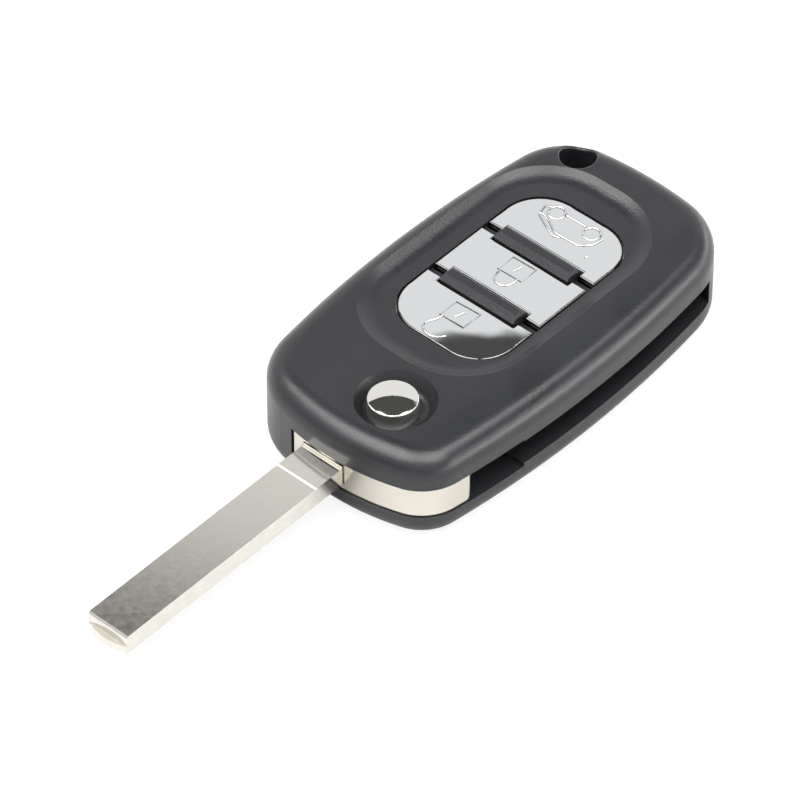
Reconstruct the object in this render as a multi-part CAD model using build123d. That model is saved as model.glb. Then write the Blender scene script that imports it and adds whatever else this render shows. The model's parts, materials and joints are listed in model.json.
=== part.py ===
"""Folding key fob shell: two case halves, three keys on a pad, and a flip blade on a sprung hub.

All sizes are in millimetres. Everything is drawn about the pivot, where the release button and
the hub turn, with Z up from the case's back, and is moved to the shared origin on export.
"""

import os
from math import hypot, isclose

from build123d import *

# Case outline: four gently bowed sides, each corner with its own radius
case_length = 71.9
case_width = 39.5
case_height = 15.2
side_bow_radius = 190.0
front_bow_radius = 40.0
back_bow_radius = 61.0
front_left_radius = 11.2
front_right_radius = 7.8
back_right_radius = 12.1
back_left_radius = 10.7
top_edge_radius = 3.7
bottom_edge_radius = 3.2
shoulder_width = 7.3
shoulder_drop = 0.9

# Case walls and the plane where the halves meet
wall = 1.6
roof = 1.7
floor = 1.6
upper_depth = 5.9
lip_height = 0.8
lip_thickness = 0.7
lip_clearance = 0.1

# Pivot, measured from the case's front and right sides
pivot_from_front = 10.2
pivot_from_right = 15.9

# Blade
blade_length = 43.66
blade_width = 7.35
blade_thickness = 3.2
blade_drop = 0.6
blade_edge_offset = 0.6
blade_seat_depth = 0.5
mouth_gap = 0.2
root_stretch = 5.2
root_groove_width = 0.5
root_groove_depth = 0.2
root_step_length = 0.22
root_step_height = 0.25
tip_chamfer = 0.3
tip_lip_reach = 0.8
tip_lip_height = 1.3
channel_width = 4.2
channel_depth = 0.7
channel_from_tip = 3.0
tang_length = 4.0
tang_shoulder = 0.8

# Hub
hub_setback = 0.25
hub_height = 4.9
hub_rise = 0.1
hub_left_reach = 10.4
hub_right_back = 1.6
hub_left_back = 3.6
hub_disc_radius = 9.0
hub_corner_radius = 1.2
trunnion_radius = 6.5
trunnion_end_gap = 0.6
running_fit = 0.06
axial_play = 0.05
swing_clearance = 0.4

# Opening in the case that the hub and the folded blade swing through
slot_clearance = 0.55
slot_end_clearance = 0.3
hub_gap_clearance = 0.2
hub_gap_step = 0.3
hub_gap_end = 10.8
jamb_clearance = 0.35

# Release button and its lock lugs
button_radius = 3.7
button_rise = 0.5
button_dome_height = 0.75
button_rim_radius = 0.2
button_travel = 2.0
flange_radius = 4.5
flange_thickness = 1.2
stem_radius = 1.7
lug_reach = 5.3
lug_width = 2.4
lug_clearance = 0.12
lock_notch_depth = 1.0
bowl_radius = 6.05
bowl_floor_radius = 4.6
bowl_depth = 2.3
bowl_round = 1.4
bowl_offset_x = 0.2
bowl_offset_y = 0.4
boss_wall = 1.3
boss_floor = 1.4

# Spring and roll pin
spring_wire = 0.8
spring_turns = 4.5
spring_sides = 12
spring_radius = 3.0
spring_well_clearance = 0.65
pin_radius = 0.8
pin_bore = 0.45
pin_slit = 0.3
pin_setback = 0.1

# Keys and the sunk dish round them
keys_length = 35.0
keys_width = 20.5
keys_corner = 6.7
keys_from_pivot = 30.9
keys_from_right = 20.9
keys_crown_radius = 400.0
key_drop = 0.65
key_gap = 0.2
key_skirt = 1.6
key_flange = 0.6
key_flange_thickness = 0.85
key_travel = 0.6
key_shell = 1.2
key_edge_radius = 0.3
key_stem_radius = 2.2
dish_depth = 0.95
dish_length = 47.3
dish_width = 28.5
dish_corner = 12.2
dish_shift = 1.05
dish_slope_run = 1.9
dish_cove_radius = 4.0
cut_overrun = 0.4
deck = 1.3

# Raised bars between the keys
bar_spacing = 11.8
bar_length = 14.0
bar_width = 3.1
bar_chamfer = 0.9
bar_end_chamfer = 0.4
bar_rise = 0.35
neck_width = 1.1
neck_drop = 0.9
neck_reach = 0.45

# Key pad, the frame that clamps it and the pegs that locate it
pad_thickness = 0.5
pad_margin = 1.8
pad_corner = 3.0
pad_stud_radius = 1.8
pad_stud_height = 0.45
frame_gap = 0.3
peg_radius = 0.7
peg_inset = 1.9
peg_fit = 0.1

# Board tray over the folded blade and the bay
tray_thickness = 0.7
tray_left_margin = 4.6
tray_right = 8.6
tray_clearance = 0.3
tray_back_margin = 9.7
tray_rim = 0.9
tray_corner = 2.5
tray_window_margin = 3.0

# Ring hole in the back left corner
ring_radius = 2.8
ring_from_left = 9.4
ring_from_back = 5.3
ring_boss_wall = 1.3
ring_edge_radius = 0.35

# Walls and ribs inside the halves
divider_thickness = 1.0
rib_thickness = 0.9
rib_count = 4
rib_pitch = 9.5
rib_start = 17.6
post_radius = 1.3

# Places worked out from the sizes above
case_right = pivot_from_right
case_left = pivot_from_right - case_width
case_front = -pivot_from_front
case_back = case_length - pivot_from_front
case_mid_x = (case_left + case_right) / 2
case_mid_y = (case_front + case_back) / 2

parting_height = case_height - upper_depth
key_top_height = case_height - key_drop
bar_top_height = case_height + bar_rise
button_rim_height = case_height + button_rise

hub_face = case_front + hub_setback
hub_top_height = parting_height + hub_rise
hub_bottom_height = hub_top_height - hub_height
hub_sweep = hypot(hub_left_reach, pivot_from_front) + swing_clearance
hub_gap_floor = hub_bottom_height - hub_gap_clearance
hub_gap_roof = parting_height + hub_gap_step
jamb_left = -hub_left_reach - jamb_clearance

blade_top_height = parting_height - blade_drop
blade_bottom_height = blade_top_height - blade_thickness
blade_right = -blade_edge_offset
blade_left = blade_right - blade_width
blade_mid_x = (blade_left + blade_right) / 2
blade_root = hub_face - 2 * root_step_length
blade_tip = blade_root - blade_length
blade_end = blade_tip - tip_lip_reach
blade_seat = hub_face + blade_seat_depth
tang_end = blade_seat + tang_length
pin_y = (blade_seat + tang_end) / 2
blade_reach = max(hypot(blade_left, blade_tip), hypot(blade_mid_x, blade_end))
blade_sweep = blade_reach + slot_end_clearance
slot_floor = blade_bottom_height - slot_clearance

keys_x = case_right - keys_from_right
keys_y = keys_from_pivot
dish_floor = case_height - dish_depth
deck_underside = dish_floor - deck
roof_underside = case_height - roof
flange_bottom_of_key = key_top_height - key_skirt - key_flange_thickness
pad_top = flange_bottom_of_key - key_travel - axial_play
pad_bottom = pad_top - pad_thickness
pad_width = keys_width + 2 * pad_margin
pad_length = keys_length + 2 * pad_margin
peg_x = pad_width / 2 - peg_inset
peg_y = pad_length / 2 - peg_inset
tray_left = case_left + tray_left_margin
tray_front = hub_sweep + tray_clearance
tray_back = case_back - tray_back_margin
tray_top = parting_height + tray_thickness
ring_x = case_left + ring_from_left
ring_y = case_back - ring_from_back
divider_right = blade_edge_offset - swing_clearance - running_fit
divider_left = divider_right - divider_thickness

bowl_floor = case_height - bowl_depth
boss_underside = bowl_floor - boss_floor
boss_radius = trunnion_radius + running_fit + boss_wall
trunnion_low = (floor + hub_bottom_height) / 2
trunnion_high = boss_underside - trunnion_end_gap
flange_top = boss_underside - lug_clearance
flange_bottom = flange_top - flange_thickness
pressed_flange = flange_bottom - button_travel - lug_clearance
spring_well = spring_radius + spring_wire / 2 + spring_well_clearance
stem_bottom = floor + button_travel + lug_clearance


def slab(plan, low, high):
    """Extrude a plan drawn at Z 0 between two heights."""
    return Pos(0, 0, low) * extrude(plan, high - low)


def block(x0, x1, y0, y1, z0, z1):
    """Block between two opposite corners."""
    middle = Pos((x0 + x1) / 2, (y0 + y1) / 2, (z0 + z1) / 2)
    return middle * Box(x1 - x0, y1 - y0, z1 - z0)


def post(x, y, radius, low, high):
    """Upright cylinder between two heights."""
    return Pos(x, y, (low + high) / 2) * Cylinder(radius, high - low)


def rounded(width, length, corner, x, y):
    """Rounded rectangle in plan, centred on a point."""
    return Pos(x, y) * RectangleRounded(width, length, corner)


def field(x0, x1, y0, y1):
    """Plain rectangle in plan between two opposite corners."""
    return Pos((x0 + x1) / 2, (y0 + y1) / 2) * Rectangle(x1 - x0, y1 - y0)


def edges_above(shape, height):
    """Edges of a solid or face that lie wholly above a height."""
    return [e for e in shape.edges() if min((e @ t).Z for t in (0, 0.5, 1)) > height]


def round_hole_edge(edge):
    """Whether an edge runs round the ring hole."""
    reach = [hypot((edge @ t).X - ring_x, (edge @ t).Y - ring_y) for t in (0, 0.5, 1)]
    return all(isclose(r, ring_radius, abs_tol=1e-3) for r in reach)


def case_outline(inset=0.0):
    """Plan of the case: four wide arcs with rounded corners, drawn in by the inset."""
    plan = Pos(case_left + side_bow_radius, case_mid_y) * Circle(side_bow_radius - inset)
    plan &= Pos(case_right - side_bow_radius, case_mid_y) * Circle(side_bow_radius - inset)
    plan &= Pos(case_mid_x, case_front + front_bow_radius) * Circle(front_bow_radius - inset)
    plan &= Pos(case_mid_x, case_back - back_bow_radius) * Circle(back_bow_radius - inset)
    corners = (
        (-1, -1, front_left_radius),
        (1, -1, front_right_radius),
        (1, 1, back_right_radius),
        (-1, 1, back_left_radius),
    )
    for right, back, radius in corners:
        corner = plan.vertices().sort_by(lambda v: right * v.X + back * v.Y)[-1]
        plan = fillet(corner, radius - inset)
    return plan


def hub_gap_plan(margin=0.0):
    """Plan of the opening at the front and right, where the hub turns."""
    return field(jamb_left - margin, case_right + wall, case_front - wall, hub_gap_end + margin)


def slot_plan(margin=0.0):
    """Plan of the opening along the right side, swept by the blade's tip."""
    sweep = Circle(blade_sweep + margin)
    return sweep & field(divider_right - margin, case_right + wall, 0, case_back)


def ring_boss_plan(margin=0.0):
    """Plan of the solid round the ring hole."""
    return Pos(ring_x, ring_y) * Circle(ring_radius + ring_boss_wall + margin)


def closed_rim(outer, inner, margin=0.0):
    """Plan of the wall between two insets, only where the case has no opening or ring boss."""
    rim = case_outline(outer) - case_outline(inner) - ring_boss_plan(margin)
    return rim - hub_gap_plan(wall) - slot_plan(wall)


def bay_wall_plan():
    """Plan of the curved wall that keeps the turning hub clear of the bay."""
    ring = Circle(hub_sweep + divider_thickness) - Circle(hub_sweep)
    left = field(case_left, divider_right, case_front, case_back)
    return (ring & left) - hub_gap_plan_left()


def hub_gap_plan_left():
    """Plan of the front opening alone, up to the level of the pivot."""
    return field(jamb_left, case_right, case_front - wall, 0)


def rib_places():
    """Distances of the cross ribs from the pivot."""
    return [rib_start + rib_pitch * i for i in range(rib_count)]


def upper_half():
    """Solid upper half: the top falls away in a long arc to the right side, all its rim rounded."""
    arc = (shoulder_width**2 + shoulder_drop**2) / (2 * shoulder_drop)
    start = side_bow_radius - shoulder_width
    zone = field(start, side_bow_radius + wall, case_height - shoulder_drop - wall, case_height + wall)
    fall = zone - Pos(start, case_height - arc) * Circle(arc)
    solid = slab(case_outline(), parting_height, case_height)
    solid -= Pos(case_right - side_bow_radius, case_mid_y) * revolve(Plane.XZ * fall, Axis.Z)
    sides = [f for f in solid.faces() if isclose(f.normal_at(f.center()).Z, 0, abs_tol=1e-3)]
    rim = {e for f in sides for e in edges_above(f, parting_height + shoulder_drop)}
    return fillet(rim, top_edge_radius)


def lower_half():
    """Solid lower half with its bottom edge rounded."""
    solid = slab(case_outline(), 0, parting_height)
    return fillet(solid.edges().group_by(Axis.Z)[0], bottom_edge_radius)


def ring_holed(solid, low, high):
    """Cut the ring hole through one half and round its mouth."""
    solid -= post(ring_x, ring_y, ring_radius, low - wall, high + wall)
    mouth = [e for e in solid.edges() if round_hole_edge(e) and abs((e @ 0.5).Z - parting_height) > wall]
    return fillet(mouth, ring_edge_radius)


def hollow(low, high, edge_radius, edge_index):
    """Inner space of a half round the ring hole's boss, its edge rounded to keep an even wall."""
    solid = slab(case_outline(wall), low, high)
    solid = fillet(solid.edges().group_by(Axis.Z)[edge_index], edge_radius - wall)
    return solid - slab(ring_boss_plan(), low - wall, high + wall)


def dish_plan(growth=0.0):
    """Plan of the dish round the keys, at its upper edge or grown from it."""
    width = dish_width + 2 * growth
    length = dish_length + 2 * growth
    return rounded(width, length, dish_corner + growth, keys_x - dish_shift, keys_y)


def dish_cut():
    """Recess round the keys: a flat floor and a coved slope, run on past the case's top."""
    overrun = dish_slope_run * cut_overrun / dish_depth
    bottom = Pos(0, 0, dish_floor) * dish_plan(-dish_slope_run)
    top = Pos(0, 0, case_height + cut_overrun) * dish_plan(overrun)
    dish = loft([bottom, top], ruled=True)
    return fillet(dish.edges().group_by(Axis.Z)[0], dish_cove_radius)


def bowl_cut():
    """Thumb bowl round the release button: a flat floor and a steep coved wall."""
    flare = (bowl_radius - bowl_floor_radius) / bowl_depth
    top = bowl_radius + flare * cut_overrun
    depth = bowl_depth + cut_overrun
    bowl = Pos(bowl_offset_x, bowl_offset_y, bowl_floor + depth / 2) * Cone(bowl_floor_radius, top, depth)
    return fillet(bowl.edges().group_by(Axis.Z)[0], bowl_round)


def bar(y):
    """One raised bar with bevelled edges, on a narrow neck that reaches the rim at both ends."""
    low = deck_underside
    body = block(-bar_length / 2, bar_length / 2, -bar_width / 2, bar_width / 2, low, bar_top_height)
    top = body.edges().group_by(Axis.Z)[-1]
    body = chamfer(top.filter_by(Axis.X), bar_chamfer)
    ends = body.edges().group_by(Axis.Z)[-1].filter_by(Axis.Y)
    body = chamfer(ends, bar_end_chamfer)
    half = keys_width / 2 + neck_reach
    neck = block(-half, half, -neck_width / 2, neck_width / 2, low, dish_floor - neck_drop)
    return Pos(keys_x, y, 0) * (body + neck)


def bar_places():
    """Distances of the two bars from the pivot."""
    return [keys_y - bar_spacing / 2, keys_y + bar_spacing / 2]


def pad_frame():
    """Rib under the deck that clamps the pad, with a locating peg at each corner."""
    clear = 2 * (key_flange + frame_gap)
    outer = rounded(pad_width, pad_length, pad_corner, keys_x, keys_y)
    inner_corner = keys_corner + key_flange + frame_gap
    inner = rounded(keys_width + clear, keys_length + clear, inner_corner, keys_x, keys_y)
    frame = slab(outer - inner, pad_top, deck_underside)
    for x in (keys_x - peg_x, keys_x + peg_x):
        for y in (keys_y - peg_y, keys_y + peg_y):
            frame += post(x, y, peg_radius, pad_bottom - pad_thickness, pad_top)
    return frame


def lock_notches(low, high):
    """Pair of notches for the lock lugs, one each side of the pivot."""
    reach = lug_reach + lug_clearance
    half = lug_width / 2 + lug_clearance
    return block(-reach, reach, -half, half, low, high)


def upper_case():
    """Top half: dished deck, bars, thumb bowl, hub boss and ceiling ribs in one moulding."""
    outside = ring_holed(upper_half(), parting_height, case_height)
    space = hollow(parting_height - wall, roof_underside, top_edge_radius, -1)
    space -= slab(dish_plan(), deck_underside, case_height)
    body = outside - space
    body += outside & post(0, 0, boss_radius, hub_top_height + axial_play, case_height)
    for y in rib_places():
        back = y + rib_thickness
        rib = block(tray_right + frame_gap, case_right, y, back, parting_height, roof_underside)
        body += outside & rib
    body -= dish_cut()
    opening = rounded(keys_width, keys_length, keys_corner, keys_x, keys_y)
    body -= slab(opening, pad_bottom, case_height)
    for y in bar_places():
        body += bar(y)
    body += pad_frame()
    body -= bowl_cut()
    body -= post(0, 0, button_radius + running_fit, parting_height, case_height)
    body -= post(0, 0, trunnion_radius + running_fit, parting_height, boss_underside)
    body -= lock_notches(parting_height, boss_underside + lock_notch_depth)
    body -= slab(hub_gap_plan() - Circle(boss_radius), parting_height - wall, hub_gap_roof)
    rebate = closed_rim(wall - lip_thickness - lip_clearance, wall)
    body -= slab(rebate, parting_height, parting_height + lip_height + lip_clearance)
    return body


def raised_floor():
    """Platform under the turning hub and shelf under the folded blade."""
    inside = case_outline(wall / 2)
    shelf = inside & field(divider_left, case_right, case_front, case_back)
    platform = inside & Circle(hub_sweep)
    return slab(shelf - platform, floor, slot_floor) + slab(platform, floor, hub_gap_floor)


def lower_case():
    """Bottom half: floor, hub bearing, bay walls, raised floor under hub and blade, ring boss."""
    outside = ring_holed(lower_half(), 0, parting_height)
    body = outside - hollow(floor, parting_height + wall, bottom_edge_radius, 0)
    inner = slab(case_outline(wall / 2), floor, parting_height)
    walls = slab(bay_wall_plan(), floor, parting_height)
    walls += block(divider_left, divider_right, hub_sweep, case_back, floor, parting_height)
    for y in rib_places():
        walls += post(tray_left + post_radius, y, post_radius, floor, parting_height)
    body += inner & walls
    body += raised_floor()
    lip = closed_rim(wall - lip_thickness, wall, lip_clearance)
    body += slab(lip, parting_height, parting_height + lip_height)
    body -= slab(hub_gap_plan(), hub_gap_floor, parting_height + wall)
    body -= slab(slot_plan(), slot_floor, parting_height + wall)
    body += post(0, 0, boss_radius, floor, hub_bottom_height - axial_play)
    return body - post(0, 0, trunnion_radius + running_fit, floor, hub_bottom_height)


def key_field(front, back, inset):
    """Plan of one key between two distances from the pivot, inset from the opening."""
    opening = rounded(
        keys_width - 2 * inset, keys_length - 2 * inset, keys_corner - inset, keys_x, keys_y
    )
    return opening & field(case_left, case_right, front, back)


def key(front, back):
    """One plated key: crowned cap notched round the bars, a flange that holds it and a stem."""
    low = flange_bottom_of_key
    skirt_bottom = low + key_flange_thickness
    cap = slab(key_field(front, back, key_gap), skirt_bottom, case_height)
    pocket_width = bar_length + 2 * key_gap
    for y in bar_places():
        half = bar_width / 2 + key_gap
        cap -= block(
            keys_x - pocket_width / 2, keys_x + pocket_width / 2, y - half, y + half, low, case_height
        )
    crown = Pos(keys_x, keys_y, key_top_height - keys_crown_radius) * Sphere(keys_crown_radius)
    cap &= crown
    cap = fillet(edges_above(cap, skirt_bottom), key_edge_radius)
    flange_front = front - neck_width / 2
    flange_back = back + neck_width / 2
    flange = slab(key_field(flange_front, flange_back, -key_flange), low, skirt_bottom)
    recess = slab(
        key_field(front + bar_width, back - bar_width, key_gap + key_shell),
        low,
        key_top_height - key_shell - dish_depth / 2,
    )
    middle = (max(front, keys_y - keys_length / 2) + min(back, keys_y + keys_length / 2)) / 2
    stem = post(keys_x, middle, key_stem_radius, low, key_top_height - key_shell)
    return cap + flange - recess + stem


def key_limits():
    """Front and back of each key, at the necks of the bars or past the opening's ends."""
    first, second = bar_places()
    edge = neck_width / 2 + key_gap
    return {
        "unlock_key": (case_front, first - edge),
        "lock_key": (first + edge, second - edge),
        "boot_key": (second + edge, case_back),
    }


def key_pad():
    """Soft pad under the keys with a stud for each and a hole for each peg."""
    pad = slab(rounded(pad_width, pad_length, pad_corner, keys_x, keys_y), pad_bottom, pad_top)
    for x in (keys_x - peg_x, keys_x + peg_x):
        for y in (keys_y - peg_y, keys_y + peg_y):
            pad -= post(x, y, peg_radius + peg_fit, pad_bottom, pad_top)
    for front, back in key_limits().values():
        middle = (max(front, keys_y - keys_length / 2) + min(back, keys_y + keys_length / 2)) / 2
        pad += post(keys_x, middle, pad_stud_radius, pad_bottom - pad_stud_height, pad_bottom)
    return pad


def board_tray():
    """Tray that roofs the folded blade and frames the bay, with a rim under the pad."""
    width = tray_right - tray_left
    length = tray_back - tray_front
    x = (tray_left + tray_right) / 2
    y = (tray_front + tray_back) / 2
    plan = rounded(width, length, tray_corner, x, y)
    tray = slab(plan, parting_height, pad_bottom)
    inner = rounded(width - 2 * tray_rim, length - 2 * tray_rim, tray_corner - tray_rim, x, y)
    tray -= slab(inner, tray_top, pad_bottom)
    window_left = tray_left + tray_window_margin
    window = field(
        window_left,
        divider_left - tray_window_margin,
        tray_front + tray_window_margin,
        tray_back - tray_window_margin,
    )
    tray -= slab(window, parting_height, tray_top)
    for px in (keys_x - peg_x, keys_x + peg_x):
        tray -= post(px, keys_y + peg_y, peg_radius + peg_fit, parting_height, pad_bottom)
    return tray


def button_profile():
    """Half section of the button: stem, flange, barrel and dome with a softened rim."""
    apex = button_rim_height + button_dome_height
    ball = (button_radius**2 + button_dome_height**2) / (2 * button_dome_height)
    rim = (button_radius, button_rim_height)
    outline = Polyline(
        (0, apex),
        (0, stem_bottom),
        (stem_radius, stem_bottom),
        (stem_radius, flange_bottom),
        (flange_radius, flange_bottom),
        (flange_radius, flange_top),
        (button_radius, flange_top),
        rim,
    )
    half = make_face([*outline.edges(), RadiusArc(rim, (0, apex), -ball)])
    corner = half.vertices().sort_by_distance(rim)[0]
    return fillet(corner, button_rim_radius)


def release_button():
    """Domed button on a flange with two lock lugs and a stem for the spring."""
    body = revolve(Plane.XZ * button_profile(), Axis.Z)
    half = lug_width / 2
    return body + block(-lug_reach, lug_reach, -half, half, flange_bottom, flange_top)


def hub_plan():
    """Plan of the hub: a disc joined to a front face that follows the case."""
    back = Polyline(
        (-hub_left_reach, case_front - wall),
        (case_right, case_front - wall),
        (case_right, hub_right_back),
        (0, hub_right_back),
        (-hub_left_reach, -hub_left_back),
        close=True,
    )
    front = case_outline(hub_setback) & make_face(back)
    return front + Circle(hub_disc_radius)


def flip_hub():
    """Turning block with a trunnion above and below, the button's bore and the blade's mouth."""
    body = slab(hub_plan(), hub_bottom_height, hub_top_height)
    ends = body.edges().filter_by(Axis.Z).sort_by(Axis.X)
    body = fillet([ends[0], ends[-1]], hub_corner_radius)
    body += post(0, 0, trunnion_radius, trunnion_low, trunnion_high)
    body -= post(0, 0, flange_radius + running_fit, pressed_flange, trunnion_high)
    body -= post(0, 0, spring_well, trunnion_low, trunnion_high)
    body -= lock_notches(pressed_flange, trunnion_high)
    body -= blade_root_solid()
    seam = blade_right + mouth_gap
    body -= block(blade_right, seam, case_front - wall, blade_seat, blade_bottom_height, hub_top_height)
    body -= post(blade_mid_x, pin_y, pin_radius, hub_bottom_height, hub_top_height)
    return body


def blade_root_solid():
    """End of the blade inside the hub: full section at the mouth, then a narrower tang."""
    seat = block(
        blade_left, blade_right, case_front - wall, blade_seat, blade_bottom_height, blade_top_height
    )
    half = tang_shoulder / 2
    tang = block(
        blade_left + tang_shoulder,
        blade_right - tang_shoulder,
        hub_face,
        tang_end,
        blade_bottom_height + half,
        blade_top_height - half,
    )
    return seat + tang


def tip_lip():
    """Low curved lip across the foot of the blade's tip."""
    curve = (blade_width**2 / 4 + tip_lip_reach**2) / (2 * tip_lip_reach)
    round_end = Pos(blade_mid_x, blade_end + curve) * Circle(curve)
    plan = round_end & field(blade_left, blade_right, blade_end, blade_tip)
    return slab(plan, blade_bottom_height, blade_bottom_height + tip_lip_height)


def key_blade():
    """Uncut blade: lipped tip, channel below, cross groove and two small steps at the root."""
    full = block(
        blade_left, blade_right, blade_tip, case_front, blade_bottom_height, blade_top_height
    )
    tip = full.faces().sort_by(Axis.Y)[0].edges()
    full = chamfer(tip.filter_by(Axis.X).sort_by(Axis.Z)[-1], tip_chamfer)
    body = full + blade_root_solid()
    body &= block(
        blade_left, blade_right, blade_tip, tang_end, blade_bottom_height, blade_top_height
    )
    curve = (channel_width**2 / 4 + channel_depth**2) / (2 * channel_depth)
    length = blade_length - root_stretch - channel_from_tip
    middle = blade_tip + channel_from_tip + length / 2
    below = Pos(blade_mid_x, middle, blade_bottom_height + channel_depth - curve)
    body -= below * Rot(90, 0, 0) * Cylinder(curve, length)
    body += tip_lip()
    groove = blade_root - root_stretch
    body -= block(
        blade_left,
        blade_right,
        groove - root_groove_width / 2,
        groove + root_groove_width / 2,
        blade_top_height - root_groove_depth,
        blade_top_height,
    )
    for i in (0, 1):
        start = blade_root + i * root_step_length
        top = blade_top_height + (i + 1) * root_step_height
        body += block(blade_left, blade_right, start, hub_face, blade_top_height, top)
    body -= post(blade_mid_x, pin_y, pin_radius, hub_bottom_height, hub_top_height)
    return body


def blade_pin():
    """Slit roll pin that holds the tang in the hub."""
    low = hub_bottom_height + pin_setback
    high = hub_top_height - pin_setback
    pin = post(blade_mid_x, pin_y, pin_radius, low, high)
    pin -= post(blade_mid_x, pin_y, pin_bore, low, high)
    half = pin_slit / 2
    return pin - block(blade_mid_x, blade_mid_x + 2 * pin_radius, pin_y - half, pin_y + half, low, high)


def flip_spring():
    """Coil that lifts the button and turns the hub."""
    low = floor + spring_wire / 2 + axial_play
    high = flange_bottom - spring_wire / 2 - axial_play
    path = Helix((high - low) / spring_turns, high - low, spring_radius)
    wire = RegularPolygon(spring_wire / 2, spring_sides)
    coil = sweep(Plane(path @ 0, z_dir=path % 0) * wire, path)
    return Pos(0, 0, low) * coil


def to_origin():
    """Move from the pivot to the middle of the whole object's footprint."""
    return Pos(-case_mid_x, -(blade_end + case_back) / 2, 0)


def main():
    """Build every piece and write one file for each."""
    os.makedirs("parts", exist_ok=True)
    pieces = {
        "upper_case": upper_case(),
        "lower_case": lower_case(),
        "key_pad": key_pad(),
        "board_tray": board_tray(),
        "release_button": release_button(),
        "flip_hub": flip_hub(),
        "key_blade": key_blade(),
        "blade_pin": blade_pin(),
        "flip_spring": flip_spring(),
    }
    for name, (front, back) in key_limits().items():
        pieces[name] = key(front, back)
    for name, piece in pieces.items():
        export_step(to_origin() * piece, f"parts/{name}.step")


main()
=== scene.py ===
"""Looks for a folding key fob shell: finishes, raised key marks, floor, light and camera.

All sizes are in metres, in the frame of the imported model. The case lies on its back with +Z out
of the keys, the open blade points along -Y and the case runs along +Y.
"""

import json
import math

import bpy
from bpy.props import FloatProperty, FloatVectorProperty, PointerProperty
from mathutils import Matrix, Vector

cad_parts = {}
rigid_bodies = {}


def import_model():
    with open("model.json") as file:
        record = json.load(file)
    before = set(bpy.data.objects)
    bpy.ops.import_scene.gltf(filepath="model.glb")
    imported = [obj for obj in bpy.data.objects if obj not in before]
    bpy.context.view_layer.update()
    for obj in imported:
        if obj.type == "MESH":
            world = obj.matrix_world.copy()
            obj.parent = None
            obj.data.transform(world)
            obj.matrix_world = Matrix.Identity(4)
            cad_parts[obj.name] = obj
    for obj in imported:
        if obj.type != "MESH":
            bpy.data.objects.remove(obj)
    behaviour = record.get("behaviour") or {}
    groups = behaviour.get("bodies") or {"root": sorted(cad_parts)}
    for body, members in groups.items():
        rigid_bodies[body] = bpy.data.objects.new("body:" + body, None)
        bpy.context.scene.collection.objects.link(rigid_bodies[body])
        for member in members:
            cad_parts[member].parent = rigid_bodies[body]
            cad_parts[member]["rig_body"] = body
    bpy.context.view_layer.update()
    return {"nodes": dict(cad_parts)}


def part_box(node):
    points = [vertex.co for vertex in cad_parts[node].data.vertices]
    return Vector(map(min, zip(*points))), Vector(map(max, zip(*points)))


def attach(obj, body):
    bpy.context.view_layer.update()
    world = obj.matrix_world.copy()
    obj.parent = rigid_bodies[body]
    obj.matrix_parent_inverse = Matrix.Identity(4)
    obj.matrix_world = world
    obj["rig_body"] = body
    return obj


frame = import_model()

bl_info = {
    "name": "Folding Key Fob Looks",
    "version": (1, 0, 0),
    "blender": (4, 5, 0),
    "location": "3D View > Sidebar > Key Fob",
    "description": "Finishes a folding key fob shell and sets its stage",
    "category": "Object",
}

MM = 0.001
DEFAULT_OBJECTS = ("Cube", "Light", "Camera")
WHITE = (1, 1, 1, 1)

# Directions in the frame of the model
UP = (0, 0, 1)
DOWN = (0, 0, -1)
FRONT = (0, -1, 0)
BACK = (0, 1, 0)

# Outlines of the marks on the keys, in millimetres in plan from the middle of the three keys
LOCK_BODY = ((-2.36, -0.06), (1.94, 0.05), (1.94, 3.36), (-2.36, 3.26))
LOCK_SHACKLE = (
    (-1.9, -0.06), (-1.9, -0.89), (-1.6, -1.79), (-0.95, -2.34), (-0.25, -2.49),
    (0.45, -2.34), (1.05, -1.74), (1.3, -0.89), (1.3, 0.01),
)
LOCK_KEYHOLE = ((-0.35, 0.8), (-0.2, 1.66), (-0.05, 2.36))
OPEN_BODY = ((-2.38, -12.59), (2.01, -12.54), (2.07, -8.91), (-2.33, -9.14))
OPEN_SHACKLE = (
    (-1.95, -12.59), (-1.97, -13.14), (-2.25, -13.84), (-2.7, -14.54), (-2.87, -15.24), (-2.75, -15.94),
    (-2.1, -16.46), (-1.25, -16.7), (-0.45, -16.64), (0.2, -16.39), (0.75, -15.89), (1.1, -15.34),
)
OPEN_KEYHOLE = ((-0.4, -11.54), (-0.18, -10.74), (0.05, -10.09))
CAR_TAIL = ((-5.8, 13.11), (-6.2, 14.7), (-5.35, 15.36))
CAR_SILL = ((-2.5, 15.26), (1.25, 15.3))
CAR_ROOF = (
    (-5.8, 13.11), (-5, 13.2), (-3.15, 12.36), (-1.95, 11.55), (-0.7, 11.2), (1.85, 11.36),
    (3, 11.45), (4.25, 12.66), (4.55, 13.55), (4.7, 14.91),
)
CAR_TAILGATE = ((-5.6, 12.7), (-3.4, 11.55), (-1.15, 10.55), (0, 10.86))
CAR_WHEELS = ((-3.95, 14.76), (2.77, 14.72))
LIGHT_MARK = ((5.35, 10.16), (5.55, 10.55))

# How the marks are drawn
ABOVE_KEYS = 1.0  # height from which a mark's points are dropped on to the keys
RIDGE_ROUNDING = 3
RING_POINTS = 40
SMOOTH_ANGLE = math.radians(40)
SAME_POINT = 0.001 * MM

# Range that most values of a noise texture lie in
NOISE_LOW = 0.3
NOISE_HIGH = 0.7

# How far finishes vary round the values that they are given, and the parts of their textures
PLASTIC_TONE = 0.08
ROUGHNESS_CHANGE = 0.03
PLATING_ROUGHNESS_CHANGE = 0.02
PLATING_WAVES = 160.0
PIT_SHARE = 0.6
CLOUD_SHARE = 0.6

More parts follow.
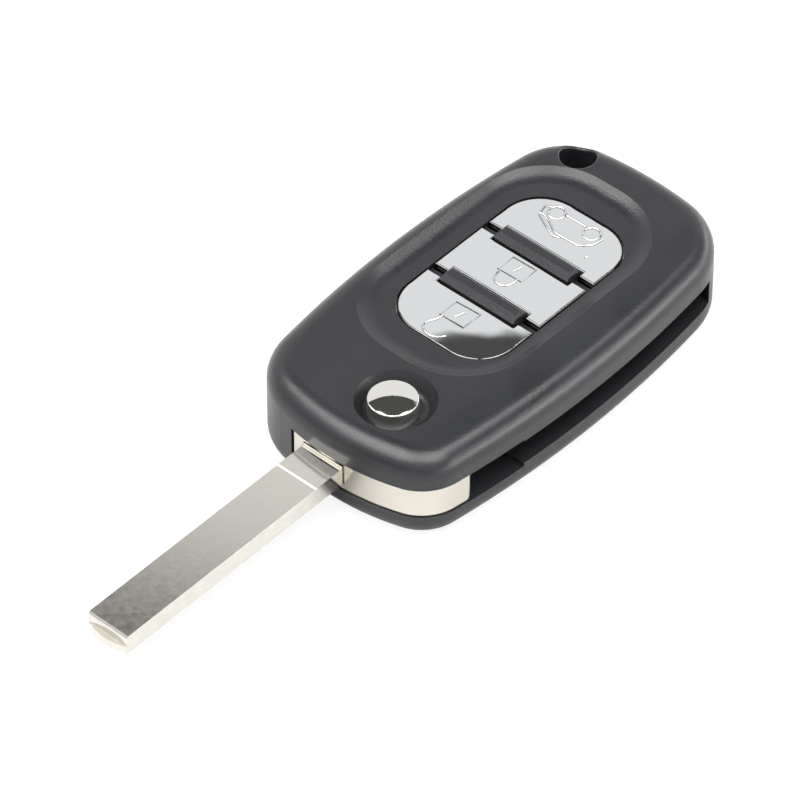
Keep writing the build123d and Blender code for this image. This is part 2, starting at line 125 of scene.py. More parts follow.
# The softboxes on a plane overhead, as the fob sees them, in units of that plane's height
SOFTBOX_GAP = 0.05  # from the middle to the inner edge of each
SOFTBOX_SLANT = 1.35  # how much wider the gap gets for each unit away from the camera
SOFTBOX_LEFT = 1.2  # outer edge of the left one
SOFTBOX_RIGHT = 0.74  # outer edge of the right one
SOFTBOX_FRONT = -0.8  # edge of both on the camera's side
LOWEST_RISE = 0.02  # keeps the horizon off that plane

FLOOR_DROP = 0.02 * MM
LAMP_TARGET = (0, 0, 8 * MM)


class FobMarks(bpy.types.PropertyGroup):
    """Sizes of the raised marks on the keys."""

    line_radius: FloatProperty(
        name="Line Radius", description="Half the width of a mark's raised line",
        default=0.2 * MM, min=0.05 * MM, max=0.4 * MM, unit="LENGTH", precision=5,
    )
    line_sink: FloatProperty(
        name="Line Sink", description="How far the middle of a line lies below the key's top",
        default=0.05 * MM, min=0.0, max=0.3 * MM, unit="LENGTH", precision=5,
    )
    wheel_radius: FloatProperty(
        name="Wheel Radius", description="Radius of the car mark's wheels",
        default=1.3 * MM, min=0.5 * MM, max=2.0 * MM, unit="LENGTH", precision=5,
    )


class FobFinish(bpy.types.PropertyGroup):
    """Colours and surface sizes of the fob's finishes."""

    case_colour: FloatVectorProperty(
        name="Case", description="Colour of the case's plastic, written dark to suit the strong softboxes",
        default=(0.0128, 0.0133, 0.0148), subtype="COLOR", size=3, min=0, max=1,
    )
    grain_scale: FloatProperty(
        name="Grain Scale", description="Grain cells in one metre of the moulded plastic",
        default=3000.0, min=200.0, max=20000.0,
    )
    grain_depth: FloatProperty(
        name="Grain Depth", description="Depth of the moulded grain",
        default=0.022 * MM, min=0.0, max=0.1 * MM, unit="LENGTH", precision=6,
    )
    chrome_colour: FloatVectorProperty(
        name="Key Plating", description="Colour of the keys' bright plating",
        default=(0.70, 0.71, 0.72), subtype="COLOR", size=3, min=0, max=1,
    )
    button_colour: FloatVectorProperty(
        name="Button Plating", description="Colour of the button's bright plating",
        default=(0.76, 0.745, 0.71), subtype="COLOR", size=3, min=0, max=1,
    )
    hub_colour: FloatVectorProperty(
        name="Hub Nickel", description="Colour of the hub's polished nickel",
        default=(0.64, 0.605, 0.535), subtype="COLOR", size=3, min=0, max=1,
    )
    blade_colour: FloatVectorProperty(
        name="Blade Nickel", description="Colour of the blade's satin nickel",
        default=(0.70, 0.68, 0.62), subtype="COLOR", size=3, min=0, max=1,
    )
    root_slope: FloatProperty(
        name="Blade Slope at Root", description="Slight forward lean of the blade's shine at its root",
        default=math.radians(0.0), subtype="ANGLE",
    )
    tip_slope: FloatProperty(
        name="Blade Slope at Tip", description="Slight forward lean of the blade's shine at its tip",
        default=math.radians(1.3), subtype="ANGLE",
    )
    # Also bounds the painted shade on the lip's top.
    lip_length: FloatProperty(
        name="Lip Length", description="How far the blade's lip stands out at its tip",
        default=0.8 * MM, unit="LENGTH", precision=5,
    )
    # Also bounds the painted shade on the root's risers.
    root_length: FloatProperty(
        name="Root Length", description="Length of the blade's stepped root in front of the hub",
        default=2.5 * MM, unit="LENGTH", precision=5,
    )
    steel_colour: FloatVectorProperty(
        name="Spring Steel", description="Colour of the spring and the roll pin",
        default=(0.5, 0.5, 0.51), subtype="COLOR", size=3, min=0, max=1,
    )
    pad_colour: FloatVectorProperty(
        name="Soft Pad", description="Colour of the soft pad under the keys",
        default=(0.05, 0.05, 0.052), subtype="COLOR", size=3, min=0, max=1,
    )
    tray_colour: FloatVectorProperty(
        name="Tray", description="Colour of the inner tray's plastic",
        default=(0.045, 0.045, 0.046), subtype="COLOR", size=3, min=0, max=1,
    )


class FobStage(bpy.types.PropertyGroup):
    """Floor, light and camera round the fob."""

    floor_size: FloatProperty(
        name="Floor Size", description="Side of the pale floor", default=8.0, min=1.0, unit="LENGTH",
    )
    floor_colour: FloatVectorProperty(
        name="Floor", description="Colour of the pale floor",
        default=(0.9, 0.9, 0.9), subtype="COLOR", size=3, min=0, max=1,
    )
    floor_white: FloatProperty(
        name="Floor White", description="Share of the floor that the camera sees as plain white",
        default=0.86, min=0.0, max=1.0, subtype="FACTOR",
    )
    floor_mirrored: FloatProperty(
        name="Mirrored Floor", description="Share of the floor's light that shiny pieces mirror",
        default=0.55, min=0.0, max=1.0, subtype="FACTOR",
    )
    wall_height: FloatProperty(
        name="Wall Height", description="Angle above the horizon of the back wall's upper edge",
        default=math.radians(47.3), min=0.0, max=math.pi / 2, subtype="ANGLE",
    )
    wall_light: FloatProperty(
        name="Back Wall", description="Brightness of the white wall behind the fob", default=1.0, min=0.0,
    )
    front_light: FloatProperty(
        name="Front Room", description="Brightness of the room on the camera's side", default=0.8, min=0.0,
    )
    front_low_light: FloatProperty(
        name="Front Horizon", description="Brightness of the room near the floor on the camera's side",
        default=0.08, min=0.0,
    )
    ceiling_light: FloatProperty(
        name="Ceiling", description="Brightness of the gap between the softboxes", default=0.09, min=0.0,
    )
    softbox_light: FloatProperty(
        name="Softboxes", description="Brightness of the two softboxes overhead, above a plain level",
        default=8.0, min=0.0,
    )
    right_light: FloatProperty(
        name="Right Room", description="Brightness of the room above the card on the right",
        default=0.15, min=0.0,
    )
    card_light: FloatProperty(
        name="Right Card", description="Brightness of the white card low on the right", default=5.0, min=0.0,
    )
    side_power: FloatProperty(
        name="Side Lamp", description="Power of the low lamp on the right",
        default=3.0, min=0.0, unit="POWER",
    )
    camera_azimuth: FloatProperty(
        name="Camera Azimuth", description="Camera's direction round the fob, from the front",
        default=math.radians(41.9), subtype="ANGLE",
    )
    camera_elevation: FloatProperty(
        name="Camera Elevation", description="Camera's height above the horizon",
        default=math.radians(44.5), subtype="ANGLE",
    )
    camera_distance: FloatProperty(
        name="Camera Distance", description="Camera's distance from the point that it looks at",
        default=0.93, min=0.1, unit="LENGTH",
    )
    camera_lens: FloatProperty(
        name="Lens", description="Focal length in millimetres", default=297.0, min=20.0,
    )
    camera_aim: FloatVectorProperty(
        name="Aim", description="Point in the middle of the picture",
        default=(4.928 * MM, -3.136 * MM, 15.838 * MM), subtype="TRANSLATION", size=3, precision=5,
    )


def clear_selection():
    """Leave edit mode and select nothing."""
    if bpy.context.object and bpy.context.object.mode != "OBJECT":
        bpy.ops.object.mode_set(mode="OBJECT")
    bpy.ops.object.select_all(action="DESELECT")


def take(piece):
    """Make one object the only selected and the active one."""
    clear_selection()
    piece.select_set(True)
    bpy.context.view_layer.objects.active = piece


def keys_middle():
    """Middle of the three keys in plan."""
    low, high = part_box("unlock_key")[0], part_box("boot_key")[1]
    return (low[0] + high[0]) / 2, (low[1] + high[1]) / 2


def on_key(node, x, y):
    """Point of a key's top above a place in plan, in metres."""
    key = frame["nodes"][node]
    middle_x, middle_y = keys_middle()
    above = Vector((middle_x + x * MM, middle_y + y * MM, ABOVE_KEYS))
    hit, place, _normal, _face = key.ray_cast(above, Vector(DOWN))
    if not hit:
        raise RuntimeError(f"the mark at {x}, {y} doesn't lie on {node}")
    return place


def wire_to_ridge(line, name, node):
    """Turn a drawn line into a round ridge and let it ride with its key."""
    marks = bpy.context.scene.fob_marks
    take(line)
    bpy.ops.object.convert(target="CURVE")
    curve = bpy.context.object
    curve.data.bevel_depth = marks.line_radius
    curve.data.bevel_resolution = RIDGE_ROUNDING
    curve.data.use_fill_caps = True
    bpy.ops.object.convert(target="MESH")
    ridge = bpy.context.object
    ridge.name = ridge.data.name = name
    bpy.ops.object.shade_smooth_by_angle(angle=SMOOTH_ANGLE)
    bpy.ops.object.transform_apply(location=True, rotation=True, scale=True)
    body = frame["nodes"][node]["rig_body"]
    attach(ridge, body)
    return ridge


def draw_ridge(name, node, outline, closed=False):
    """Draw a mark's line along a key's top, point by point, and make it a raised ridge."""
    sink = Vector((0, 0, bpy.context.scene.fob_marks.line_sink))
    path = [on_key(node, x, y) - sink for x, y in outline]
    clear_selection()
    bpy.ops.mesh.primitive_plane_add(size=MM, location=path[0])
    line = bpy.context.object
    bpy.ops.object.mode_set(mode="EDIT")
    bpy.ops.mesh.select_all(action="SELECT")
    bpy.ops.mesh.merge(type="CENTER")
    loop = path + path[:1] if closed else path
    for start, end in zip(loop, loop[1:]):
        bpy.ops.mesh.extrude_vertices_move(TRANSFORM_OT_translate={"value": end - start})
    bpy.ops.mesh.select_all(action="SELECT")
    bpy.ops.mesh.remove_doubles(threshold=SAME_POINT)
    bpy.ops.object.mode_set(mode="OBJECT")
    return wire_to_ridge(line, name, node)


def draw_ring(name, node, centre, radius):
    """Draw a round ridge on a key's top."""
    sink = Vector((0, 0, bpy.context.scene.fob_marks.line_sink))
    clear_selection()
    bpy.ops.mesh.primitive_circle_add(
        vertices=RING_POINTS, radius=radius, location=on_key(node, *centre) - sink)
    return wire_to_ridge(bpy.context.object, name, node)


def new_group(name, inputs, outputs):
    """Start a shader node group with number inputs and named outputs."""
    group = bpy.data.node_groups.new(name, "ShaderNodeTree")
    for label, value in inputs:
        socket = group.interface.new_socket(label, in_out="INPUT", socket_type="NodeSocketFloat")
        socket.default_value = value
    for label in outputs:
        group.interface.new_socket(label, in_out="OUTPUT", socket_type="NodeSocketFloat")
    start = group.nodes.new("NodeGroupInput")
    end = group.nodes.new("NodeGroupOutput")
    return group, start, end


def surface_place(tree):
    """Object coordinates of the piece."""
    return tree.nodes.new("ShaderNodeTexCoord").outputs["Object"]


def noise(tree, place, scale, detail=2.0, roughness=0.5):
    """Noise texture on the piece, its scale a number or a socket."""
    node = tree.nodes.new("ShaderNodeTexNoise")
    node.inputs["Detail"].default_value = detail
    node.inputs["Roughness"].default_value = roughness
    tree.links.new(place, node.inputs["Vector"])
    if isinstance(scale, (int, float)):
        node.inputs["Scale"].default_value = scale
    else:
        tree.links.new(scale, node.inputs["Scale"])
    return node.outputs["Fac"]


def math_node(tree, operation, first, second):
    """Math node with two inputs, each a number or a socket."""
    node = tree.nodes.new("ShaderNodeMath")
    node.operation = operation
    for socket, value in zip(node.inputs, (first, second)):
        if isinstance(value, (int, float)):
            socket.default_value = value
        else:
            tree.links.new(value, socket)
    return node.outputs[0]


def spread(tree, value, low, high):
    """Map a texture's middle range on to a range of numbers."""
    node = tree.nodes.new("ShaderNodeMapRange")
    tree.links.new(value, node.inputs["Value"])
    node.inputs["From Min"].default_value = NOISE_LOW
    node.inputs["From Max"].default_value = NOISE_HIGH
    node.inputs["To Min"].default_value = low
    node.inputs["To Max"].default_value = high
    return node.outputs["Result"]


def step_up(tree, value, edge, softness):
    """Zero below an edge, one above it, with a soft change between."""
    node = tree.nodes.new("ShaderNodeMapRange")
    node.interpolation_type = "SMOOTHSTEP"
    tree.links.new(value, node.inputs["Value"])
    node.inputs["From Min"].default_value = edge - softness
    node.inputs["From Max"].default_value = edge + softness
    return node.outputs["Result"]


def blend_levels(tree, mask, low, high):
    """Go from one value to another with a mask, each a number or a socket."""
    node = tree.nodes.new("ShaderNodeMix")
    tree.links.new(mask, node.inputs["Factor"])
    for socket, value in ((node.inputs["A"], low), (node.inputs["B"], high)):
        if isinstance(value, (int, float)):
            socket.default_value = value
        else:
            tree.links.new(value, socket)
    return node.outputs["Result"]


def along(tree, direction, axis):
    """How far a direction goes along an axis."""
    node = tree.nodes.new("ShaderNodeVectorMath")
    node.operation = "DOT_PRODUCT"
    tree.links.new(direction, node.inputs[0])
    node.inputs[1].default_value = axis
    return node.outputs["Value"]


def moulded_grain_group():
    """Fine pitted grain of a moulded surface, with a slow change of tone."""
    group, start, end = new_group(
        "Moulded Grain", (("Cells", 3600.0), ("Patches", 120.0)), ("Height", "Tone"))
    place = surface_place(group)
    fine = noise(group, place, start.outputs["Cells"], detail=3.0, roughness=0.65)
    cells = group.nodes.new("ShaderNodeTexVoronoi")
    cells.feature = "SMOOTH_F1"
    group.links.new(place, cells.inputs["Vector"])
    group.links.new(start.outputs["Cells"], cells.inputs["Scale"])
    pits = math_node(group, "MULTIPLY", cells.outputs["Distance"], PIT_SHARE)
    group.links.new(math_node(group, "ADD", fine, pits), end.inputs["Height"])
    group.links.new(noise(group, place, start.outputs["Patches"], detail=4.0), end.inputs["Tone"])
    return group


def rolled_metal_group():
    """Mottled surface of plated sheet metal: soft clouds and a fine tooth."""
    group, start, end = new_group(
        "Rolled Metal", (("Clouds", 700.0), ("Tooth", 5200.0)), ("Height", "Tone"))
    place = surface_place(group)
    clouds = noise(group, place, start.outputs["Clouds"], detail=5.0, roughness=0.7)
    tooth = noise(group, place, start.outputs["Tooth"], detail=2.0, roughness=0.6)
    coarse = math_node(group, "MULTIPLY", clouds, CLOUD_SHARE)
    fine = math_node(group, "MULTIPLY", tooth, 1 - CLOUD_SHARE)
    group.links.new(math_node(group, "ADD", coarse, fine), end.inputs["Height"])
    group.links.new(clouds, end.inputs["Tone"])
    return group


def shared_group(name, maker):
    """The named node group, made once."""
    return bpy.data.node_groups.get(name) or maker()


def new_finish(name, colour, metallic, roughness):
    """Start a material and return it with its tree and its main shader."""
    finish = bpy.data.materials.new(name)
    finish.use_nodes = True
    shader = finish.node_tree.nodes["Principled BSDF"]
    shader.inputs["Base Color"].default_value = (*colour, 1)
    shader.inputs["Metallic"].default_value = metallic
    shader.inputs["Roughness"].default_value = roughness
    return finish, finish.node_tree, shader


def add_group(tree, group, **values):
    """Place a node group with its own values."""
    node = tree.nodes.new("ShaderNodeGroup")
    node.node_tree = group
    for label, value in values.items():
        node.inputs[label].default_value = value
    return node


def add_bump(tree, shader, height, distance):
    """Bump the surface by a height in metres, on top of any bump that it has."""
    bump = tree.nodes.new("ShaderNodeBump")
    bump.inputs["Distance"].default_value = distance
    tree.links.new(height, bump.inputs["Height"])
    if shader.inputs["Normal"].is_linked:
        tree.links.new(shader.inputs["Normal"].links[0].from_socket, bump.inputs["Normal"])
    tree.links.new(bump.outputs["Normal"], shader.inputs["Normal"])


def tint(tree, shader, tone, colour, low, high):
    """Let the base colour go between a darker and a lighter tint with a texture's tone."""
    mix = tree.nodes.new("ShaderNodeMix")
    mix.data_type = "RGBA"
    tree.links.new(spread(tree, tone, 0.0, 1.0), mix.inputs["Factor"])
    mix.inputs["A"].default_value = (*(c * low for c in colour), 1)
    mix.inputs["B"].default_value = (*(min(1, c * high) for c in colour), 1)
    tree.links.new(mix.outputs["Result"], shader.inputs["Base Color"])


def vary_roughness(tree, shader, tone, low, high):
    """Let the roughness go between two values with a texture's tone."""
    tree.links.new(spread(tree, tone, low, high), shader.inputs["Roughness"])


def moulded_plastic(name, colour, cells, depth, roughness, shine=0.5):
    """Satin moulded plastic with a fine pitted grain."""
    finish, tree, shader = new_finish(name, colour, 0.0, roughness)
    shader.inputs["Specular IOR Level"].default_value = shine
    grain = add_group(tree, shared_group("Moulded Grain", moulded_grain_group), Cells=cells)
    tone = grain.outputs["Tone"]
    tint(tree, shader, tone, colour, 1 - PLASTIC_TONE, 1 + PLASTIC_TONE)
    vary_roughness(tree, shader, tone, roughness - ROUGHNESS_CHANGE, roughness + ROUGHNESS_CHANGE)
    add_bump(tree, shader, grain.outputs["Height"], depth)
    return finish


def turned_to(tree, axis, edge, softness=0.15):
    """One where the surface faces along an axis by more than an edge value, zero elsewhere."""
    normal = tree.nodes.new("ShaderNodeTexCoord").outputs["Normal"]
    return step_up(tree, along(tree, normal, axis), edge, softness)


def paint_shade_and_roughen(tree, shader, where, shade, roughness):
    """Paint shade into a finish where a mask is one: darken its colour and roughen it."""
    mix = tree.nodes.new("ShaderNodeMix")
    mix.data_type = "RGBA"
    mix.blend_type = "MULTIPLY"
    colour, grey = shader.inputs["Base Color"], shader.inputs["Roughness"]
    tree.links.new(where, mix.inputs["Factor"])
    mix.inputs["A"].default_value = colour.default_value
    if colour.is_linked:
        tree.links.new(colour.links[0].from_socket, mix.inputs["A"])
    mix.inputs["B"].default_value = (shade, shade, shade, 1)
    tree.links.new(mix.outputs["Result"], colour)
    tree.links.new(blend_levels(tree, where, grey.links[0].from_socket, roughness), grey)


def bright_plating(name, colour, roughness, waviness):
    """Mirror plating over a moulded piece, with slight waves."""
    finish, tree, shader = new_finish(name, colour, 1.0, roughness)
    waves = noise(tree, surface_place(tree), PLATING_WAVES, detail=1.0)
    vary_roughness(tree, shader, waves, roughness, roughness + PLATING_ROUGHNESS_CHANGE)
    add_bump(tree, shader, waves, waviness)
    return finish, tree, shader


def rolled_nickel(name, colour, roughness, depth, contrast):
    """Nickel-plated metal with soft clouds and a fine tooth."""
    finish, tree, shader = new_finish(name, colour, 1.0, roughness)
    surface = add_group(tree, shared_group("Rolled Metal", rolled_metal_group))
    tone = surface.outputs["Tone"]
    tint(tree, shader, tone, colour, 1 - contrast, 1 + contrast)
    vary_roughness(tree, shader, tone, roughness - ROUGHNESS_CHANGE, roughness + ROUGHNESS_CHANGE)
    add_bump(tree, shader, surface.outputs["Height"], depth)
    return finish


def give_finish(finish, *pieces):
    """Put a finish on pieces or on the model's own nodes, named or given."""
    for piece in pieces:
        target = frame["nodes"][piece] if isinstance(piece, str) else piece
        target.data.materials.clear()
        target.data.materials.append(finish)


class FOB_OT_finish_case(bpy.types.Operator):
    """Give both halves of the case their grained satin plastic"""

    bl_idname = "fob.finish_case"
    bl_label = "Finish Case"

    def execute(self, context):
        look = context.scene.fob_finish
        plastic = moulded_plastic(
            "case_plastic", look.case_colour, cells=look.grain_scale, depth=look.grain_depth,
            roughness=0.3, shine=0.42)
        give_finish(plastic, "upper_case", "lower_case")
        return {"FINISHED"}


class FOB_OT_finish_inside(bpy.types.Operator):
    """Finish the tray, the soft pad, the spring and the roll pin"""

    bl_idname = "fob.finish_inside"
    bl_label = "Finish Inner Pieces"

    def execute(self, context):
        look = context.scene.fob_finish
        tray = moulded_plastic(
            "tray_plastic", look.tray_colour, cells=2400.0, depth=0.006 * MM, roughness=0.45)
        give_finish(tray, "board_tray")
        pad = moulded_plastic("soft_pad", look.pad_colour, cells=5000.0, depth=0.01 * MM, roughness=0.7)
        give_finish(pad, "key_pad")
        steel = rolled_nickel(
            "spring_steel", look.steel_colour, roughness=0.25, depth=0.002 * MM, contrast=0.05)
        give_finish(steel, "flip_spring", "blade_pin")
        return {"FINISHED"}


class FOB_OT_finish_plating(bpy.types.Operator):
    """Plate the three keys and the release button"""

    bl_idname = "fob.finish_plating"
    bl_label = "Plate Keys and Button"

    def execute(self, context):
        look = context.scene.fob_finish
        plating, tree, shader = bright_plating(
            "key_plating", look.chrome_colour, roughness=0.01, waviness=0.012 * MM)
        # Painted shade: the keys' steep sides and rims are darkened in colour to hold back the bright lines
        # that they mirror.
        painted_shade_sides = turned_to(tree, DOWN, edge=-0.95, softness=0.04)
        paint_shade_and_roughen(tree, shader, painted_shade_sides, shade=0.15, roughness=0.05)
        give_finish(plating, "unlock_key", "lock_key", "boot_key")
        _plating, tree, shader = bright_plating(
            "mark_plating", look.chrome_colour, roughness=0.05, waviness=0.0)
        # Painted shade: the marks' ridge sides are darkened in colour so that each line shows a dark
        # outline.
        painted_shade_sides = turned_to(tree, DOWN, edge=-0.7, softness=0.1)
        paint_shade_and_roughen(tree, shader, painted_shade_sides, shade=0.2, roughness=0.1)
        plating, tree, shader = bright_plating(
            "button_plating", look.button_colour, roughness=0.03, waviness=0.002 * MM)
        # Painted shade: the button's steep rim is slightly darkened in colour to soften the bright arcs that
        # it mirrors.
        paint_shade_and_roughen(tree, shader, turned_to(tree, DOWN, edge=-0.75), shade=0.9, roughness=0.35)
        give_finish(plating, "release_button")
        return {"FINISHED"}


def bow_along_blade(finish, root, start, end):
    """Curve a blade's shine along its length: its slope at the root and at the tip."""
    tree = finish.node_tree
    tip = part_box("key_blade")[0][1]
    bend = (end - start) / (root - tip)
    level = root + start / bend
    distance = math_node(tree, "SUBTRACT", along(tree, surface_place(tree), BACK), level)
    height = math_node(tree, "MULTIPLY", math_node(tree, "MULTIPLY", distance, distance), -bend / 2)
    add_bump(tree, tree.nodes["Principled BSDF"], height, 1.0)


class FOB_OT_finish_blade(bpy.types.Operator):
    """Finish the hub's polished nickel and the blade's satin nickel"""

    bl_idname = "fob.finish_blade"
    bl_label = "Finish Hub and Blade"

    def execute(self, context):
        look = context.scene.fob_finish
        tip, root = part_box("key_blade")[0][1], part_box("flip_hub")[0][1]
        hub = rolled_nickel(
            "hub_nickel", look.hub_colour, roughness=0.16, depth=0.003 * MM, contrast=0.02)
        give_finish(hub, "flip_hub")
        blade = rolled_nickel(
            "blade_nickel", look.blade_colour, roughness=0.12, depth=0.002 * MM, contrast=0.07)
        tree = blade.node_tree
        shader = tree.nodes["Principled BSDF"]
        ahead = along(tree, surface_place(tree), FRONT)
        # Painted shade: the top of the blade's lip is darkened in colour to stand for the dark reflection
        # that it shows.
        lip = step_up(tree, ahead, edge=-tip - look.lip_length, softness=0.02 * MM)
        painted_shade_lip = math_node(tree, "MULTIPLY", lip, turned_to(tree, UP, edge=0.8))
        paint_shade_and_roughen(tree, shader, painted_shade_lip, shade=0.25, roughness=0.2)
        # Painted shade: the front-facing risers of the blade's stepped root are darkened in colour to tone
        # down their bright reflection.
        behind = math_node(tree, "MULTIPLY", ahead, -1.0)
        steps = step_up(tree, behind, edge=root - look.root_length, softness=0.5 * MM)
        painted_shade_risers = math_node(tree, "MULTIPLY", steps, turned_to(tree, FRONT, edge=0.3))
        paint_shade_and_roughen(tree, shader, painted_shade_risers, shade=0.35, roughness=0.2)
        bow_along_blade(blade, root, look.root_slope, look.tip_slope)
        give_finish(blade, "key_blade")
        return {"FINISHED"}


class FOB_OT_padlock_marks(bpy.types.Operator):
    """Raise a closed padlock on the lock key and an open one on the unlock key"""

    bl_idname = "fob.padlock_marks"
    bl_label = "Raise Padlock Marks"

    def execute(self, context):
        ridges = [
            draw_ridge("closed_padlock_body", "lock_key", LOCK_BODY, closed=True),
            draw_ridge("closed_padlock_shackle", "lock_key", LOCK_SHACKLE),
            draw_ridge("closed_padlock_keyhole", "lock_key", LOCK_KEYHOLE),
            draw_ridge("open_padlock_body", "unlock_key", OPEN_BODY, closed=True),
            draw_ridge("open_padlock_shackle", "unlock_key", OPEN_SHACKLE),
            draw_ridge("open_padlock_keyhole", "unlock_key", OPEN_KEYHOLE),
        ]
        give_finish(bpy.data.materials["mark_plating"], *ridges)
        return {"FINISHED"}


class FOB_OT_tailgate_mark(bpy.types.Operator):
    """Raise the car with its open tailgate and the small light mark on the boot key"""

    bl_idname = "fob.tailgate_mark"
    bl_label = "Raise Tailgate Mark"

    def execute(self, context):
        radius = context.scene.fob_marks.wheel_radius
        ridges = [
            draw_ridge("car_tail", "boot_key", CAR_TAIL),
            draw_ridge("car_sill", "boot_key", CAR_SILL),
            draw_ridge("car_roof", "boot_key", CAR_ROOF),
            draw_ridge("car_tailgate", "boot_key", CAR_TAILGATE),
            draw_ridge("light_mark", "boot_key", LIGHT_MARK),
        ]
        for name, centre in zip(("car_back_wheel", "car_front_wheel"), CAR_WHEELS):
            ridges.append(draw_ring(name, "boot_key", centre, radius))
        give_finish(bpy.data.materials["mark_plating"], *ridges)
        return {"FINISHED"}


def flat_share(tree, path, seen, mirrored):
    """Share of the floor that is flat colour: white to the eye, black to what mirrors it."""
    bounced = math_node(tree, "MAXIMUM", path.outputs["Is Glossy Ray"], path.outputs["Is Transmission Ray"])
    direct = math_node(tree, "MULTIPLY", path.outputs["Is Camera Ray"], seen)
    return math_node(tree, "MAXIMUM", direct, math_node(tree, "MULTIPLY", bounced, 1 - mirrored))


def lay_floor(stage):
    """Pale floor that keeps the fob's shadow."""
    clear_selection()
    bpy.ops.mesh.primitive_plane_add(size=stage.floor_size, location=(0, 0, -FLOOR_DROP))
    floor = bpy.context.object
    floor.name = "floor"
    finish, tree, shader = new_finish("floor_paper", stage.floor_colour, metallic=0.0, roughness=0.9)
    shader.inputs["Specular IOR Level"].default_value = 0.0
    white = tree.nodes.new("ShaderNodeEmission")
    white.inputs["Color"].default_value = WHITE
    mix = tree.nodes.new("ShaderNodeMixShader")
    path = tree.nodes.new("ShaderNodeLightPath")
    tree.links.new(path.outputs["Is Camera Ray"], white.inputs["Strength"])
    tree.links.new(flat_share(tree, path, stage.floor_white, stage.floor_mirrored), mix.inputs["Fac"])
    tree.links.new(shader.outputs["BSDF"], mix.inputs[1])
    tree.links.new(white.outputs["Emission"], mix.inputs[2])
    tree.links.new(mix.outputs["Shader"], tree.nodes["Material Output"].inputs["Surface"])
    give_finish(finish, floor)


def hang_lamp(name, azimuth, elevation, distance, width, height, power):
    """Soft square lamp that faces the fob's middle."""
    a, e = math.radians(azimuth), math.radians(elevation)
    out = Vector((math.sin(a) * math.cos(e), -math.cos(a) * math.cos(e), math.sin(e)))
    clear_selection()
    bpy.ops.object.light_add(type="AREA", location=Vector(LAMP_TARGET) + out * distance)
    lamp = bpy.context.object
    lamp.name = name
    lamp.rotation_euler = out.to_track_quat("Z", "Y").to_euler()
    lamp.data.shape = "RECTANGLE"
    lamp.data.size = width
    lamp.data.size_y = height
    lamp.data.energy = power
    lamp.visible_camera = False


def room_sides(tree, stage, away, right, rise):
    """Brightness of the room round the fob: the camera's side, the back wall, the card on the right."""
    front_room = blend_levels(
        tree, step_up(tree, rise, edge=0.2, softness=0.15), stage.front_low_light, stage.front_light)
    walls = blend_levels(tree, step_up(tree, away, edge=0.05, softness=0.35), front_room, stage.wall_light)
    right_room = blend_levels(
        tree, step_up(tree, rise, edge=0.22, softness=0.1), stage.card_light, stage.right_light)
    return blend_levels(tree, step_up(tree, right, edge=0.6, softness=0.15), walls, right_room)


def room_overhead(tree, stage, back, side, room):
    """Brightness overhead: two softboxes with a gap between them, and the room beyond them."""
    out = math_node(tree, "ABSOLUTE", side, 0.0)
    slant = math_node(tree, "MULTIPLY", math_node(tree, "MAXIMUM", back, 0.0), SOFTBOX_SLANT)
    inner = step_up(tree, math_node(tree, "SUBTRACT", out, slant), edge=SOFTBOX_GAP, softness=0.03)
    right_edge = step_up(tree, side, edge=SOFTBOX_RIGHT, softness=0.12)
    left_edge = step_up(tree, math_node(tree, "MULTIPLY", side, -1.0), edge=SOFTBOX_LEFT, softness=0.5)
    outer = math_node(tree, "MAXIMUM", right_edge, left_edge)
    front = step_up(tree, back, edge=SOFTBOX_FRONT, softness=0.15)
    within = math_node(tree, "MULTIPLY", front, math_node(tree, "SUBTRACT", 1.0, outer))
    lit = math_node(tree, "MULTIPLY", inner, within)
    beyond = math_node(tree, "MAXIMUM", outer, math_node(tree, "SUBTRACT", 1.0, front))
    overhead = blend_levels(tree, lit, stage.ceiling_light, stage.softbox_light)
    return blend_levels(tree, beyond, overhead, room)


def light_room(stage):
    """World that is white to the camera, and to the fob a white wall behind and softboxes overhead."""
    world = bpy.data.worlds.new("light_room")
    bpy.context.scene.world = world
    world.use_nodes = True
    tree = world.node_tree
    backdrop = tree.nodes["Background"]
    backdrop.inputs["Color"].default_value = WHITE
    direction = tree.nodes.new("ShaderNodeTexCoord").outputs["Generated"]
    a = stage.camera_azimuth
    away = along(tree, direction, (-math.sin(a), math.cos(a), 0))
    right = along(tree, direction, (math.cos(a), math.sin(a), 0))
    rise = along(tree, direction, UP)
    height = math_node(tree, "MAXIMUM", rise, LOWEST_RISE)
    back = math_node(tree, "DIVIDE", away, height)
    side = math_node(tree, "DIVIDE", right, height)
    room = room_sides(tree, stage, away, right, rise)
    overhead = room_overhead(tree, stage, back, side, room)
    wall = step_up(tree, back, edge=1 / math.tan(stage.wall_height), softness=0.01)
    level = blend_levels(tree, wall, overhead, room)
    seen = tree.nodes.new("ShaderNodeLightPath").outputs["Is Camera Ray"]
    tree.links.new(blend_levels(tree, seen, level, 1.0), backdrop.inputs["Strength"])


def place_camera(stage):
    """Camera at the photograph's angle, with a long lens."""
    a, e = stage.camera_azimuth, stage.camera_elevation
    back = Vector((math.sin(a) * math.cos(e), -math.cos(a) * math.cos(e), math.sin(e)))
    clear_selection()
    bpy.ops.object.camera_add(location=Vector(stage.camera_aim) + back * stage.camera_distance)
    camera = bpy.context.object
    camera.name = "photo_camera"
    camera.rotation_mode = "QUATERNION"
    camera.rotation_quaternion = (-back).to_track_quat("-Z", "Y")
    camera.data.lens = stage.camera_lens
    camera.data.clip_start = 0.05
    bpy.context.scene.camera = camera


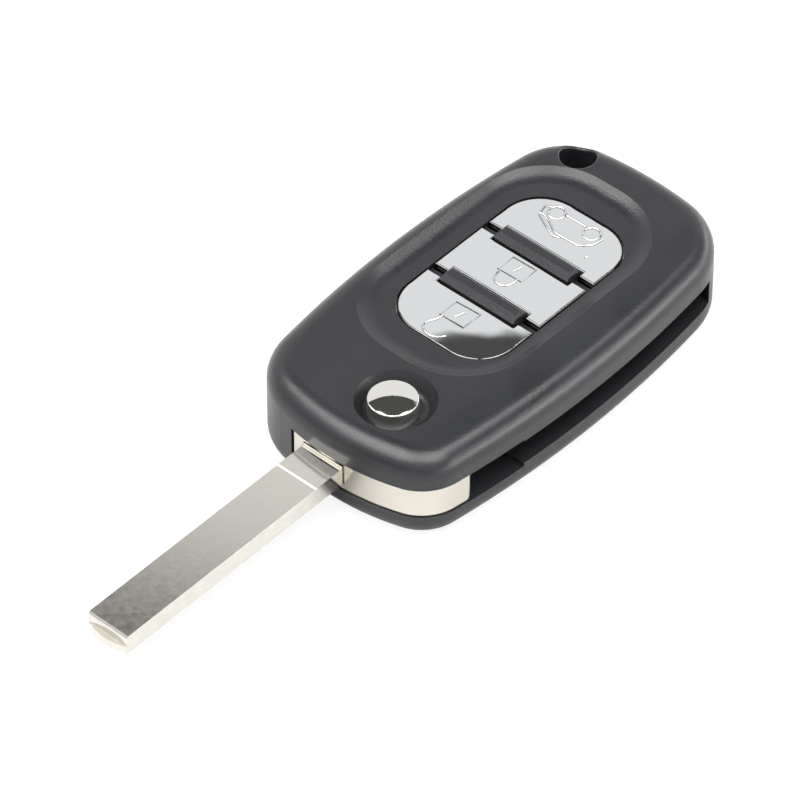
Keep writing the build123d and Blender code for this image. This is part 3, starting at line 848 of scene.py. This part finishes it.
class FOB_OT_stage(bpy.types.Operator):
    """Lay the floor, light the room, hang the lamp and place the camera"""

    bl_idname = "fob.stage"
    bl_label = "Set Stage"

    def execute(self, context):
        for name in DEFAULT_OBJECTS:
            if name in bpy.data.objects:
                bpy.data.objects.remove(bpy.data.objects[name])
        stage = context.scene.fob_stage
        lay_floor(stage)
        light_room(stage)
        hang_lamp(
            "side_lamp", azimuth=120, elevation=14, distance=1.0, width=0.6, height=0.5,
            power=stage.side_power)
        place_camera(stage)
        context.scene.view_settings.view_transform = "Standard"
        return {"FINISHED"}


STEPS = (
    FOB_OT_finish_case,
    FOB_OT_finish_inside,
    FOB_OT_finish_plating,
    FOB_OT_finish_blade,
    FOB_OT_padlock_marks,
    FOB_OT_tailgate_mark,
    FOB_OT_stage,
)


class FOB_PT_looks(bpy.types.Panel):
    """Buttons and sizes for the key fob's looks"""

    bl_idname = "FOB_PT_looks"
    bl_label = "Key Fob Looks"
    bl_space_type = "VIEW_3D"
    bl_region_type = "UI"
    bl_category = "Key Fob"

    def draw(self, context):
        for step in STEPS:
            self.layout.operator(step.bl_idname)
        for settings in (context.scene.fob_marks, context.scene.fob_finish, context.scene.fob_stage):
            box = self.layout.box()
            for name in settings.bl_rna.properties.keys():
                if name not in ("rna_type", "name"):
                    box.prop(settings, name)


CLASSES = (FobMarks, FobFinish, FobStage, *STEPS, FOB_PT_looks)


def register():
    """Register the classes and hang the settings on the scene."""
    for cls in CLASSES:
        bpy.utils.register_class(cls)
    bpy.types.Scene.fob_marks = PointerProperty(type=FobMarks)
    bpy.types.Scene.fob_finish = PointerProperty(type=FobFinish)
    bpy.types.Scene.fob_stage = PointerProperty(type=FobStage)


def unregister():
    """Take the settings off the scene and unregister the classes."""
    del bpy.types.Scene.fob_marks
    del bpy.types.Scene.fob_finish
    del bpy.types.Scene.fob_stage
    for cls in reversed(CLASSES):
        bpy.utils.unregister_class(cls)


def main():
    """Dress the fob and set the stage."""
    register()
    bpy.ops.fob.finish_case()
    bpy.ops.fob.finish_inside()
    bpy.ops.fob.finish_plating()
    bpy.ops.fob.finish_blade()
    bpy.ops.fob.padlock_marks()
    bpy.ops.fob.tailgate_mark()
    bpy.ops.fob.stage()


if __name__ == "__main__":
    main()
